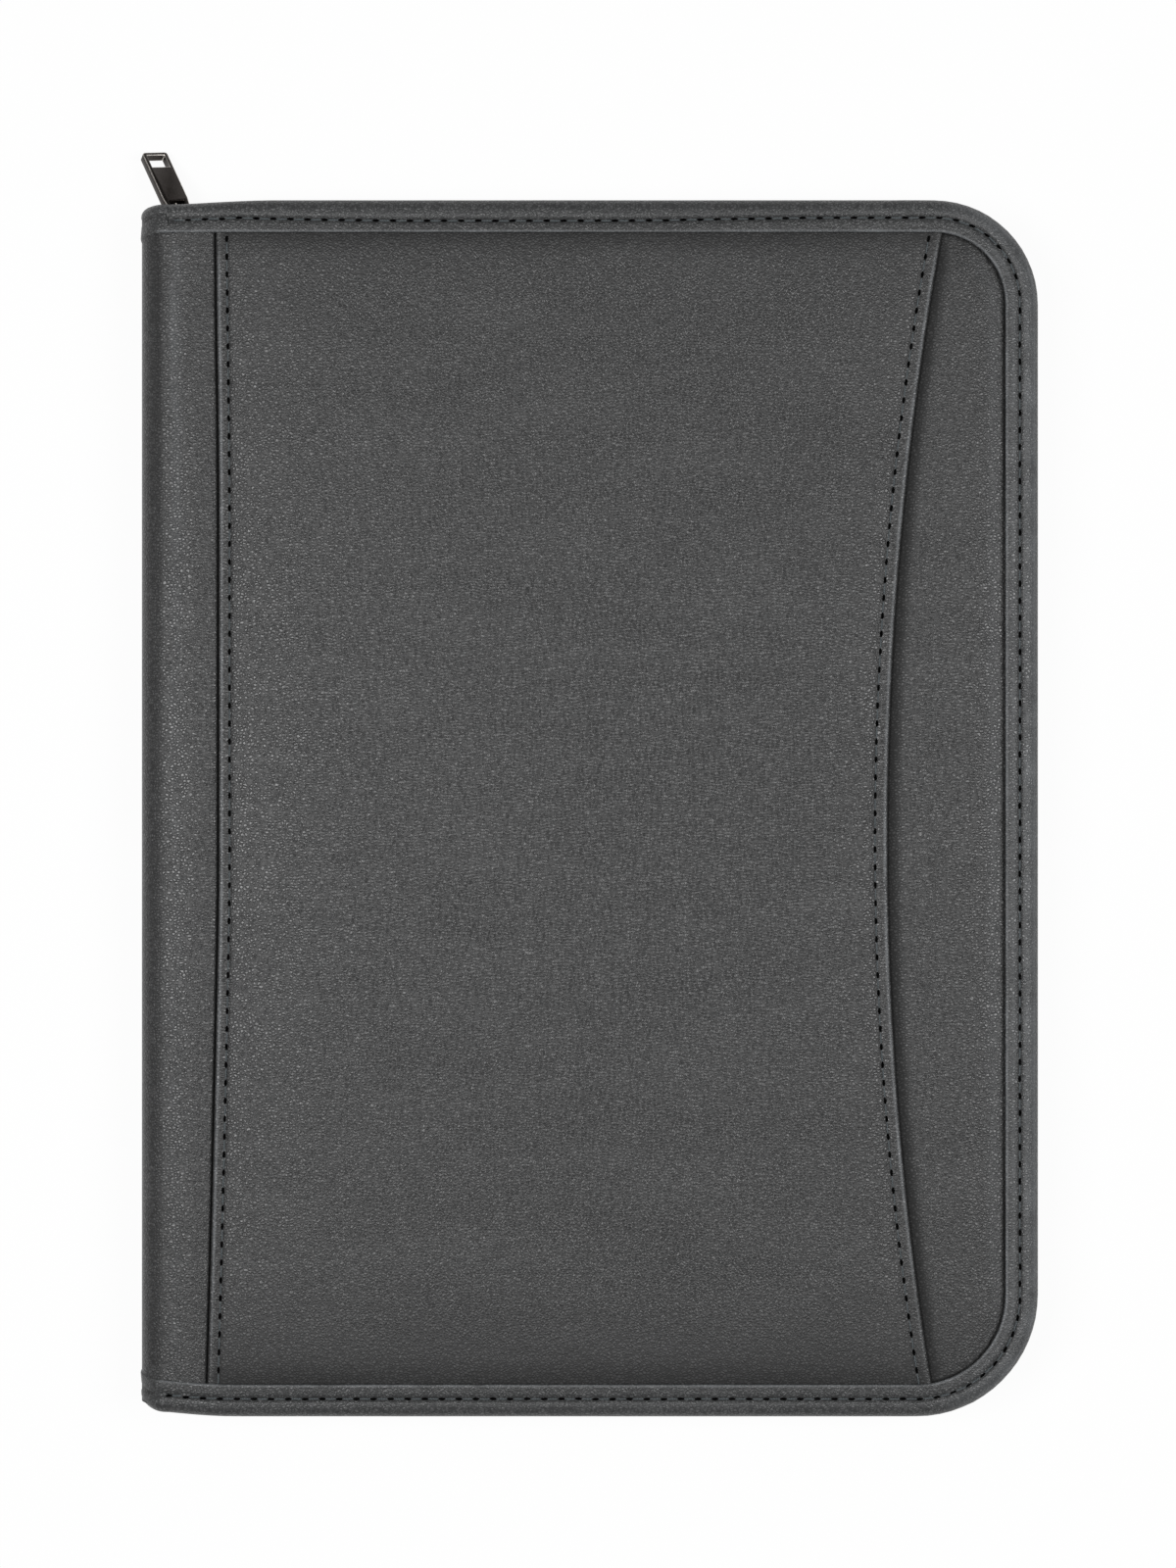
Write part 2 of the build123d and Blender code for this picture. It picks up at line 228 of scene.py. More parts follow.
def pick(piece):
    piece.select_set(True)
    bpy.context.view_layer.objects.active = piece


def new_mesh(primitive, **settings):
    """New basic mesh, selected alone, with its place and turn taken into its points."""
    deselect()
    primitive(**settings)
    bpy.ops.object.transform_apply()
    return bpy.context.object


def settle(piece, finish, smooth=40):
    """Turns a piece from millimetres to metres, its faces outwards, and gives it its finish."""
    deselect()
    pick(piece)
    open_mesh()
    bpy.ops.mesh.normals_make_consistent()
    bpy.ops.transform.resize(value=(0.001, 0.001, 0.001), center_override=(0, 0, 0))
    close_mesh()
    bpy.ops.object.shade_smooth_by_angle(angle=math.radians(smooth))
    if finish:
        dress(piece, finish)


def fit(piece, finish, body, slot, *nodes, smooth=40):
    """Settles a piece on its body in place of its CAD nodes; its slot is not used."""
    settle(piece, finish, smooth)
    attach(piece, body)
    if nodes:
        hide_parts(*nodes)


def lay_grid(name, columns, rows, place):
    """Grid whose points are laid by place(column, row)."""
    piece = new_mesh(bpy.ops.mesh.primitive_grid_add, x_subdivisions=len(columns) - 1,
                     y_subdivisions=len(rows) - 1, size=2)
    piece.name = name
    for vertex in piece.data.vertices:
        column = round((vertex.co.x + 1) / 2 * (len(columns) - 1))
        row = round((vertex.co.y + 1) / 2 * (len(rows) - 1))
        vertex.co = place(columns[column], rows[row])
    return piece


def lay_sheet(name, columns, rows, place, under):
    """Closed sheet: a laid grid with its rim folded to the height under."""
    piece = lay_grid(name, columns, rows, place)
    open_mesh()
    bpy.ops.mesh.region_to_loop()
    bpy.ops.mesh.extrude_edges_move()
    close_mesh()
    for vertex in piece.data.vertices:
        if vertex.select:
            vertex.co.z = under
    bpy.ops.object.mode_set(mode="EDIT")
    bpy.ops.mesh.edge_face_add()
    close_mesh()
    return piece


def mark_painted_light_and_wear(piece, measure):
    """Stores per point the painted light on the colour: up to 1 lighter (painted highlight, with rubbing on
    turned edges), down to -1 darker (painted shade).
    """
    painted_light_and_wear = piece.data.attributes.new("painted_light_and_wear", "FLOAT", "POINT")
    for vertex in piece.data.vertices:
        painted_light_and_wear.data[vertex.index].value = measure(*vertex.co)


def leatherette(name, dark, light, sheen):
    """Grained artificial leather: close cells about 0.8 mm across, fine creases and slow mottling, with
    painted highlights and painted shade from a point attribute.
    """
    dye = Finish(name)
    drawn = dye.add("Mapping", {"Vector": dye.place, "Scale": (0.8, 1.0, 0.8)})
    stretched = dye.add("Mapping", {"Vector": dye.place, "Scale": (0.28, 1.0, 1.0),
                                    "Rotation": (0, 0, 0.12)})
    cell = dye.add("TexVoronoi", {"Vector": drawn, "Scale": 1250.0}, feature="DISTANCE_TO_EDGE")
    grain = dye.speckle(1500.0, place=drawn)
    crease = dye.speckle(230.0, 4.0, stretched, noise_type="RIDGED_MULTIFRACTAL")
    cluster = dye.speckle(1100.0, 1.0, drawn)
    mottle = dye.speckle(75.0, 5.0, stretched)
    light_and_wear = dye.add("Attribute", {}, out="Fac", attribute_name="painted_light_and_wear")
    crown = cell.between(0.0, 0.3)
    ridge = crease.between(0.4, 2.2)
    height = 0.6 * crown + 0.45 * grain + 0.7 * ridge + 0.7 * cluster
    tone = 0.3 * crown + 0.22 * grain + 0.18 * ridge + 0.3 * mottle + 0.2 * cluster.between(0.34, 0.66)
    # The point attribute paints light: above 0 the colour goes towards grey as a painted highlight, below 0
    # towards black as painted shade.
    lightened = light_and_wear.between(0.0, 1.0)
    painted_shade = (-1 * light_and_wear).between(0.0, 1.0)
    face = (0.55 * lightened).blend(tone.between(0.33, 1.0).blend(dark, light), (0.19, 0.20, 0.21, 1))
    colour = painted_shade.blend(face, (0.003, 0.003, 0.003, 1))
    roughness = sheen + 0.17 * (1 - crown) + 0.04 * mottle + 0.5 * painted_shade
    return dye.end(colour, roughness, height, 0.00013)


cover_black = leatherette("cover_leatherette", (0.019, 0.0192, 0.0195, 1), (0.078, 0.0785, 0.079, 1), 0.285)


def back_field(x, y):
    """Height of the back face: flat where it lies on the table, drawn up to the seams round it."""
    edge = min(depth_inside(x, y, binding_width), x - seam_x - 3)
    return 0.95 * fade(edge + 0.5, 14)


back_columns = spread(0, 1, 0.02, (0, 0.008, 0.014, 0.02, 0.03, 0.045, 0.065),
                      (0, 0.012, 0.025, 0.035, 0.05))
back_rows = spread(-skin_end, skin_end, 6, (0, 2, 4, 6, 9, 13, 18))


def lay_back(column, row):
    x = seam_x + (right_edge(row, skin_inset) - seam_x) * column
    return x, row, back_field(x, row) + 0.05


back_panel = lay_sheet("back_panel_skin", back_columns, back_rows, lay_back, under=1.8)
fit(back_panel, cover_black, "back_cover", "cover_leatherette", "back_panel", "back_foam")

# Front base panel: the leatherette face that shows as a strip right of the pocket mouth.
# It is drawn over foam and runs on under the pocket panel as the back wall of the pocket.

base_z = 23.7
base_padding = 1.5
base_tuck = 14


def mouth_x(y):
    """The curved mouth edge of the front pocket: an arc through its top, middle and bottom."""
    top, middle, bottom = 101.4, 84.3, 98.2
    share = y / half_height
    return middle + (top - bottom) / 2 * share + ((top + bottom) / 2 - middle) * share * share


def drawn_down(edge, near, far):
    """Share of the full padding at a distance from the binding, by a short and a long slope."""
    edge = max(edge, 0)
    return 1 - 0.5 * math.exp(-edge / near) - 0.5 * math.exp(-edge / far)


def base_field(x, y):
    padding = base_padding * drawn_down(depth_inside(x, y, binding_width), 3.5, 14)
    return base_z + padding * ease((x - mouth_x(y) + 0.6) / 6.5)


def edge_painted_shade(x, y):
    """Strength of the painted shade in the crease beside the binding and on the slopes towards the top and
    bottom.
    """
    gap = depth_inside(x, y, leg_width) + 0.05
    fall = half_height - abs(y) - leg_width
    slope = 0.45 * fade(fall, 10) if y > 0 else 0.2 * fade(fall, 9) + 0.34 * fade(fall, 40)
    return max(hump(gap, 0.4), 0.3 * fade(gap, 4), slope)


def base_painted_light(x, y, z):
    """Painted shadow beside the pocket mouth, painted shade under the binding, and a painted highlight
    along the free side.
    """
    past = x - mouth_x(y)
    gap = depth_inside(x, y, leg_width)
    lightened = 0.42 * ease((gap - 0.2) / 0.8) * fade(gap, 8) * ease((x - 96) / 12)
    return lightened - max(edge_painted_shade(x, y), 0.75 * fade(past - 0.3, 5.8))


base_columns = spread(0, 1, 0.045, (0, 0.1, 0.2, 0.25, 0.28, 0.31, 0.34, 0.38),
                      (0, 0.03, 0.06, 0.1, 0.13, 0.145, 0.16, 0.175, 0.19, 0.21, 0.24))
rim = (0, 2, 4, 5.2, 5.8, 6.2, 6.6, 7.2, 8, 10, 13, 17)
base_rows = spread(-skin_end, skin_end, 5, rim)


def lay_base(column, row):
    left = mouth_x(row) - base_tuck
    x = left + (max(right_edge(row, skin_inset), left + 6) - left) * column
    return x, row, base_field(x, row)


base_panel = lay_sheet("front_base_skin", base_columns, base_rows, lay_base, under=22.2)
mark_painted_light_and_wear(base_panel, base_painted_light)
fit(base_panel, cover_black, "front_cover", "cover_leatherette", "front_base_panel", "front_foam")

# Front pocket panel: a second skin of leatherette with its left and mouth edges folded under.
# A row of stitches holds the left hem on the spine wrap, and the mouth hem is stitched too.

hem_offset = 0.65
seam_stitch = 3.15
mouth_stitch = 3.7
pocket_z = 25.0
pocket_padding = 1.45
fold_radius = 0.55
pocket_span = 200
hem_span = 20


def seam_sway(y):
    """How far the seam leaves its straight line: it leans left towards both ends."""
    if y < -20:
        return -2.6 * ((-20 - y) / 119) ** 1.2
    return -0.8 * ease((y - 80) / 90)


def pocket_height(left, right, edge):
    """Height over the base at distances from the left hem, the mouth hem and the binding."""
    roll = 0.30 * ease(left / 0.9) * ease(right / 0.9)
    rise = 1 - math.exp(-max(left - seam_stitch, 0) / 11)
    fall = 1 - math.exp(-max(right - mouth_stitch, 0) / 9)
    padding = pocket_padding * rise * fall * drawn_down(edge, 4, 26)
    dip = 0.3 * hump(left - seam_stitch, 0.7) + 0.3 * hump(right - mouth_stitch, 0.7)
    return pocket_z + roll * (0.3 + 0.7 * ease((edge + 0.3) / 5)) + padding - dip


hem = (0, 0.08, 0.25, 0.55, 1.0, 1.6, 2.2, 2.6, 2.9, 3.15, 3.4, 3.7, 4.0, 4.5, 5.2, 6.2, 8, 10.5, 14)
pocket_columns = spread(0, pocket_span, 4, hem)
pocket_rows = spread(-skin_end, skin_end, 4, rim)


def lay_pocket(column, row):
    """Keeps the width of the hems and stretches the columns between them."""
    left = seam_x + hem_offset + seam_sway(row)
    width = mouth_x(row) - left
    right = pocket_span - column
    if column < hem_span:
        along = column
    elif right < hem_span:
        along = width - right
    else:
        along = hem_span + (column - hem_span) * (width - 2 * hem_span) / (pocket_span - 2 * hem_span)
    x = left + along
    fold = round_off(fold_radius - min(column, right), fold_radius)
    ripple = 0.10 * drift(x / 22, row / 9, 0.4) * ease(min(column, right) / 12)
    depth = depth_inside(min(x, 90), row, binding_width)
    return x, row, pocket_height(column, right, depth) - fold + ripple


def hem_painted_light(x, y, z):
    """Painted highlight on the roll of each hem, painted shade at its rim and along the binding."""
    near = min(x - seam_x - hem_offset - seam_sway(y), mouth_x(y) - x)
    lightened = hump(near - 0.9, 0.5) * (0.7 + 0.4 * drift(x / 5, y / 5, 1))
    return lightened - max(edge_painted_shade(x, y), hump(near, 0.2))


pocket_panel = lay_sheet("front_pocket_skin", pocket_columns, pocket_rows, lay_pocket, under=24.0)
mark_painted_light_and_wear(pocket_panel, hem_painted_light)
fit(pocket_panel, cover_black, "front_cover", "cover_leatherette", "front_pocket_panel")

# Spine: one leatherette skin folded round the back of the case from cover to cover.
# Its two flaps are sewn under the panels, and it is made as a front half and a back half.

hinge_x = -118.75
back_fold_z = 9.8
front_fold_z = 16.2
middle_z = 13.0
wrap_x = -96.75
wrap_end = 167.9
wrap_outer = 8.0
wrap_inner = 7.1
# Centres of the painted shade band on the spine's fold and of the painted highlight on its flap.
fold_shade_x = -121.2
flap_highlight_x = -116.4


def cut_long_edges(piece, length, cuts):
    """Divides, in edit mode, every edge that is longer than length."""
    bpy.ops.mesh.select_mode(type="EDGE")
    bpy.ops.mesh.select_all(action="DESELECT")
    close_mesh()
    for edge in piece.data.edges:
        start, end = (piece.data.vertices[index].co for index in edge.vertices)
        edge.select = (start - end).length > length
    bpy.ops.object.mode_set(mode="EDIT")
    bpy.ops.mesh.subdivide(number_cuts=cuts)
    bpy.ops.mesh.select_mode(type="VERT")


def start_outline(name, points):
    """Closed outline through the points, left open for editing."""
    piece = new_mesh(bpy.ops.mesh.primitive_circle_add, vertices=len(points), radius=1)
    piece.name = name
    for vertex, point in zip(piece.data.vertices, points):
        vertex.co = point
    open_mesh()
    return piece


def extrude(*shift):
    bpy.ops.mesh.extrude_region_move(TRANSFORM_OT_translate={"value": shift})


def draw_out(name, section, low, high, cuts):
    """Closed section in the XZ plane, drawn out along Y from low to high."""
    piece = start_outline(name, [(x, low, z) for x, z in section])
    bpy.ops.mesh.edge_face_add()
    extrude(0, high - low, 0)
    cut_long_edges(piece, 0.9 * (high - low), cuts)
    close_mesh()
    return piece


def arc(centre_x, centre_z, radius, start, end, steps):
    """Points round a centre in the XZ plane, by their angle from the +X direction in degrees."""
    points = []
    for step in range(steps + 1):
        angle = math.radians(start + (end - start) * step / steps)
        points.append((centre_x + radius * math.cos(angle), centre_z + radius * math.sin(angle)))
    return points


def spine_section(outer, inner, flap):
    """Upper half of the spine's section: from the spine's middle, round the fold, along the flap."""
    over, under = ([(hinge_x - radius, middle_z), (hinge_x - radius, middle_z + 1.6)]
                   + arc(hinge_x, front_fold_z, radius, 180, 90, 14) for radius in (outer, inner))
    for x, rise in flap:
        over.append((x, front_fold_z + outer + rise))
    if flap:
        under.append((flap[-1][0], front_fold_z + inner - 0.5))
    return over + under[::-1]


def lower_half(section):
    return [(x, 2 * middle_z - z) for x, z in section]


def bend(piece, front, node):
    """Takes half of a wrap's place into its points, in place of its CAD node, which it hides."""
    if front:
        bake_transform(piece)
    else:
        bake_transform(piece)
    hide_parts(node)


def flap_painted_light(x, y, z):
    """Painted shade under the pocket panel, beside the binding and down the fold, and a painted highlight
    on its crest.
    """
    gap = half_height - abs(y) - leg_width
    upper = ease(y / 130)
    fold = (0.36 + 0.16 * upper) * hump(x - fold_shade_x, 2.1)
    crest_highlight = (0.2 + 0.16 * upper) * hump(x - flap_highlight_x, 2.4) * (1 + 0.6 * drift(x / 4, y / 9, 3))
    return crest_highlight - max(ease((x - seam_x - seam_sway(y)) / 0.45), hump(gap, 0.4), 0.3 * fade(gap, 4), fold)


flap_front = [(-117.2, 0.12), (-115.6, 0.36), (-114, 0.58), (-112, 0.74), (-110, 0.76), (-108.4, 0.68),
              (-107, 0.62), (-105.6, 0.55), (-104.95, 0.44), (-104.6, 0.1), (-104.35, -0.7),
              (-104.0, -1.05), (-102.8, -1.05), (wrap_x, -0.8)]
flap_back = [(-117, 0), (-113, -0.05), (-109, -0.1), (-106, -0.3), (-104.5, -0.38), (wrap_x, -0.3)]
wrap_front = spine_section(wrap_outer, wrap_inner, flap_front)
wrap_back = lower_half(spine_section(wrap_outer, wrap_inner, flap_back))
spine_front = draw_out("spine_skin_front", wrap_front, -wrap_end, wrap_end, cuts=90)
for vertex in spine_front.data.vertices:
    vertex.co.x += seam_sway(vertex.co.y) * ease((vertex.co.x + 117) / 9)
mark_painted_light_and_wear(spine_front, flap_painted_light)
spine_back = draw_out("spine_skin_back", wrap_back, -wrap_end, wrap_end, cuts=90)
for skin, front, cover_z in ((spine_front, True, 0.0242), (spine_back, False, 0.0018)):
    settle(skin, cover_black)
    bend(skin, front, "spine_panel")

# Linings: black woven nylon glued over the boards inside both covers and down the spine.
# Its plain weave is fine, with the threads about 0.4 mm apart.

lining_left = -118.3
lining_end = 167.5
lining_outer = 5.9
lining_inner = 5.1


def woven(name, dark, light, pitch, sheen):
    """Cloth of crossing threads: two sets of ridges, each over the other by turns."""
    dye = Finish(name)
    bands = 0.314 / pitch
    fuzz = dye.speckle(1800.0)
    slub = dye.speckle(60.0)
    cross = dye.stripe("X", bands, 0.3) * dye.stripe("Y", bands, 0.3)
    weave = cross + 0.3 * dye.stripe("Z", bands) + 0.25 * fuzz
    colour = (weave + 0.4 * slub).between(0.2, 1.3).blend(dark, light)
    return dye.end(colour, sheen + 0.25 * fuzz, weave, 0.00012)


lining_cloth = woven("lining_cloth", (0.012, 0.012, 0.014, 1), (0.035, 0.036, 0.04, 1), 0.0004, 0.6)


def lay_lining(side, face, under):
    """Flat lining over one cover, its rim tucked under the zipper tape."""

    def lay(column, row):
        x = lining_left + (right_edge(row, skin_inset) - lining_left) * column
        return x, row, face + 0.05 * drift(x / 18, row / 18, face) - 0.05

    columns = spread(0, 1, 0.03, (0,))
    rows = spread(-lining_end, lining_end, 7, (0, 4))
    piece = lay_sheet(side + "_lining_cloth", columns, rows, lay, under)
    fit(piece, lining_cloth, side + "_cover", "lining_cloth", side + "_lining")


lay_lining("back", face=5.5, under=4.75)
lay_lining("front", face=19.65, under=20.35)
upper_lining = spine_section(lining_outer, lining_inner, [])
lower_lining = lower_half(upper_lining)
for side, section, cover_z in (("front", upper_lining, 0.0221), ("back", lower_lining, 0.0039)):
    skin = draw_out("spine_lining_" + side, section, -lining_end, lining_end, cuts=30)
    settle(skin, lining_cloth)
    bend(skin, side == "front", "spine_lining")

# Zipper tapes: black woven tape with a corded edge, one sewn into each cover's binding.
# A flange lies under the binding's inner leg and a wall stands up to carry the teeth.

zipper_z = 12.55
tape_left = -118.4


def fill_ends():
    """Fills the open ends of a swept outline and ends its editing."""
    bpy.ops.mesh.select_all(action="DESELECT")
    bpy.ops.mesh.select_non_manifold()
    bpy.ops.mesh.fill()
    close_mesh()


def run_round(name, section, left, cuts):
    """Closed section of (inset, height) carried along the top, the right side and the bottom."""
    piece = start_outline(name, [(left, half_height - inset, height) for inset, height in section])
    extrude(half_width - top_corner - left, 0, 0)
    bpy.ops.mesh.spin(steps=14, angle=math.pi / 2, axis=(0, 0, 1),
                      center=(half_width - top_corner, half_height - top_corner, 0))
    extrude(0, top_corner + bottom_corner - 2 * half_height, 0)
    bpy.ops.mesh.spin(steps=16, angle=math.pi / 2, axis=(0, 0, 1),
                      center=(half_width - bottom_corner, bottom_corner - half_height, 0))
    extrude(left + bottom_corner - half_width, 0, 0)
    bpy.ops.mesh.select_all(action="SELECT")
    bpy.ops.mesh.remove_doubles(threshold=0.0005)
    cut_long_edges(piece, 100, cuts)
    fill_ends()
    return piece


tape_cloth = woven("zipper_tape_cloth", (0.010, 0.010, 0.011, 1), (0.030, 0.030, 0.032, 1), 0.0007, 0.62)
back_tape_section = [(4.2, 5.55), (6, 5.55), (8.7, 5.55), (8.7, 7), (8.7, 9.0), (8.45, 9.5), (8.35, 9.9),
                     (8.5, 10.25), (9.0, 10.35), (9.5, 10.25), (9.65, 9.9), (9.55, 9.5), (9.3, 9.0),
                     (9.3, 7.2), (9.3, 6.6), (9.0, 6.08), (6, 6.08), (4.2, 6.08)]
front_tape_section = [(inset, 2 * zipper_z - height) for inset, height in back_tape_section]
for side, section in (("back", back_tape_section), ("front", front_tape_section)):
    tape = run_round(side + "_zipper_tape_cloth", section, tape_left, cuts=40)
    fit(tape, tape_cloth, side + "_cover", "zipper_tape_cloth", side + "_zipper_tape", smooth=50)
    side + "_lining_cloth"

# Zipper teeth: moulded black plastic, each with a waisted shank and a wider head.
# They are clamped on the corded edges of the tapes and mesh half a pitch apart.

chain_left = -106.75
chain_inset = 9.0
tooth_pitch = 3.2
tooth_count = 234


def moulded(name, dark, light, gloss, **fixed):
    """Plain moulded plastic: slight colour drift and a fine matt skin."""
    dye = Finish(name)
    skin_grain = dye.speckle(2500.0)
    colour = dye.speckle(120.0).between(0.3, 0.7).blend(dark, light)
    return dye.end(colour, gloss + 0.15 * skin_grain, skin_grain, 0.00003, **fixed)


def along_edge(inset, left, distance):
    """Point and heading at a distance along the three free sides, from the spine end of the top."""
    right = half_width - inset
    top = half_height - inset
    upper = top_corner - inset
    lower = bottom_corner - inset
    if distance < right - upper - left:
        return left + distance, top, 0
    distance -= right - upper - left
    if distance < upper * math.pi / 2:
        turn = distance / upper
        return right - upper + upper * math.sin(turn), top - upper + upper * math.cos(turn), -turn
    distance -= upper * math.pi / 2
    if distance < 2 * top - upper - lower:
        return right, top - upper - distance, -math.pi / 2
    distance -= 2 * top - upper - lower
    if distance < lower * math.pi / 2:
        turn = distance / lower
        x = right - lower + lower * math.cos(turn)
        return x, lower - top - lower * math.sin(turn), -math.pi / 2 - turn
    return right - lower - (distance - lower * math.pi / 2), -top, -math.pi


def repeat(name, pattern, seats):
    """Copies of a pattern at seats (x, y, z, heading), joined as one piece."""
    deselect()
    for x, y, z, heading in seats:
        copy = pattern.copy()
        copy.data = pattern.data.copy()
        copy.matrix_world = Matrix.Translation((x, y, z)) @ Matrix.Rotation(heading, 4, "Z")
        bpy.context.collection.objects.link(copy)
        pick(copy)
    bpy.ops.object.join()
    piece = bpy.context.object
    piece.name = name
    bpy.ops.object.transform_apply()
    return piece


def divide(direction, *heights):
    """Cuts new edges into the active mesh across a direction, at heights along it."""
    for height in heights:
        open_mesh()
        bpy.ops.mesh.bisect(plane_co=height * Vector(direction), plane_no=direction)
        close_mesh()


def turn_over(piece):
    for vertex in piece.data.vertices:
        vertex.co.z = -vertex.co.z


teeth_black = moulded("zipper_teeth_plastic", (0.010, 0.010, 0.011, 1), (0.022, 0.022, 0.023, 1), 0.32)
tooth = new_mesh(bpy.ops.mesh.primitive_cube_add, size=1, location=(0, 0, -0.7), scale=(2.0, 2.4, 3.0))
divide((0, 0, 1), -0.9, 0.1)
for vertex in tooth.data.vertices:
    if vertex.co.z > 0.05:
        vertex.co.x *= 0.62 if vertex.co.z < 0.5 else 0.5
    elif vertex.co.z > -1:
        vertex.co.x *= 0.66
bevel = tooth.modifiers.new("rounded", "BEVEL")
bevel.width = 0.22
bevel.segments = 1
bpy.ops.object.modifier_apply(modifier="rounded")
for side, first in (("back", 2.0), ("front", 3.6)):
    seats = []
    for index in range(tooth_count):
        x, y, heading = along_edge(chain_inset, chain_left, first + index * tooth_pitch)
        seats.append((x, y, zipper_z, heading))
    teeth = repeat(side + "_zipper_teeth_row", tooth, seats)
    turn_over(tooth)
    fit(teeth, teeth_black, side + "_cover", "zipper_teeth_plastic", side + "_zipper_teeth")
bpy.data.objects.remove(tooth)

# Edge binding: a strip of leatherette folded round the edge of each cover and sewn through.
# The fold stands up as a soft roll outside the stitches, and its two legs end in turned edges.

# The binding's leatherette is painted lighter than the cover's, as painted light on its lit roll and edges.
binding_lit_leatherette = leatherette("binding_leatherette", (0.028, 0.0287, 0.0292, 1),
                            (0.098, 0.0998, 0.1012, 1), 0.295)
case_height = 26.0
tail_x = -118.6
stitch_inset = 5.5
inner_leg = 7.8


def binding_section(low, high):
    """Rolled binding as (inset, height): the wider leg on the outer face, the narrower on the inner."""
    radius = (high - low) / 2
    middle = (high + low) / 2
    section = [(leg_width - 0.05, high - 0.9), (leg_width + 0.02, high - 0.5),
               (leg_width - 0.12, high - 0.18), (leg_width - 0.5, high - 0.05),
               (leg_width - 0.95, high - 0.08), (7.3, high - 0.18), (6.6, high - 0.26), (6.05, high - 0.48),
               (stitch_inset, high - 0.75), (5.1, high - 0.42), (4.75, high - 0.04), (4.1, high + 0.09)]
    for step in range(1, 15):
        angle = math.radians(80 - 160 * step / 15)
        section.append((radius - radius * math.cos(angle), middle + radius * math.sin(angle) * 1.02))
    section += [(4.0, low), (inner_leg - 1, low), (inner_leg - 0.1, low + 0.15), (inner_leg, low + 0.5),
                (inner_leg - 0.1, low + 0.88), (4.4, low + 0.92), (1.6, middle - 1.2), (1.2, middle),
                (1.6, middle + 1.2), (4.4, high - 0.95)]
    return section


def drawn_in(x, y, inset):
    """How far the bound edge leaves its straight line at the top and bottom, by the inset."""
    if y < 0:
        return (max(-98 - x, 0) / 20) ** 2
    near_spine = ease((-88 - x) / 32)
    sag = 0.85 * ease((x + 118) / 70) * fade(x, 70) - 0.6 * near_spine
    if inset < stitch_inset:
        return 1.1 * near_spine * (1 - inset / stitch_inset) + sag * inset / stitch_inset
    return sag * max(leg_width - inset, 0) / (leg_width - stitch_inset)


def tail_drop(x):
    """How far the binding steps down from the panels to the spine's skin."""
    return 0.85 * fade(x - tail_x, 16)


def wave_at(x, y):
    return 0.10 * drift(x / 13, y / 13, 0.7)


def binding_light_and_wear(x, y, z):
    """Lighter on the outer leg's turned edge, as rubbing and painted highlight, with a painted highlight on
    the roll and along the free side.
    """
    inset = depth_inside(x, y, 0)
    inset -= drawn_in(x, y, inset)
    outer_face = ease((abs(z - middle_z) - 10.8) / 1.2)
    patchy = 0.7 + 0.5 * drift(x / 7, y / 7, 2)
    edge = hump(inset - leg_width + 0.3, 0.4)
    crest_highlight = 0.26 * hump(inset - 3.4, 1.4)
    side = 0.9 * hump(inset - 1.3, 0.7) + 0.5 * hump(inset - 3.2, 1.4) + 0.5 * hump(inset - 7.3, 1.2)
    return min((edge + crest_highlight + side * ease((x - 92) / 24)) * patchy * outer_face, 1)


def pucker_at(x, y):
    """The roll is gathered where it goes round the two corners."""
    if x <= 88 or abs(y) <= 132:
        return 0
    return 0.3 * drift(x / 2.4, y / 2.4, 0.2) * ease((math.hypot(x - 88, abs(y) - 132) - 30) / 8)


def sew_binding(side, section, flip):
    piece = run_round(side + "_binding_roll", section, tail_x, cuts=52)
    for vertex in piece.data.vertices:
        x, y, z = vertex.co
        vertex.co.z = z + flip * (wave_at(x, y) + pucker_at(x, y) - tail_drop(x))
        vertex.co.y = y - math.copysign(drawn_in(x, y, half_height - abs(y)), y)
    mark_painted_light_and_wear(piece, binding_light_and_wear)
    fit(piece, binding_lit_leatherette, side + "_cover", "binding_leatherette", side + "_binding", smooth=60)


front_roll = binding_section(18.1, case_height)
back_roll = [(inset, case_height - height) for inset, height in binding_section(19.0, case_height)]
sew_binding("front", front_roll, flip=1)
sew_binding("back", back_roll, flip=-1)

# Bound ends of the spine: the same strip carried round the spine at its top and bottom.
# Each end is made as a front half and a back half, each turned round its fold.

end_lap = 0.4
end_section = [(9.55, 8.07), (9.62, 8.45), (9.48, 8.77), (9.1, 8.90), (8.65, 8.87), (7.6, 8.77),
               (6.6, 8.69), (6.05, 8.47), (5.5, 8.20), (4.95, 8.50), (4.5, 8.87), (3.9, 9.03), (3.0, 9.0),
               (2.2, 8.75), (1.4, 8.3), (0.7, 7.6), (0.25, 6.8), (0.1, 6.0), (0.3, 5.2), (0.9, 4.6),
               (1.8, 4.3), (3.0, 4.2), (6.5, 4.2), (7.7, 4.3), (7.8, 4.9), (7.0, 5.1), (2.2, 5.15),
               (1.6, 6.2), (2.2, 7.5), (4.4, 8.0)]


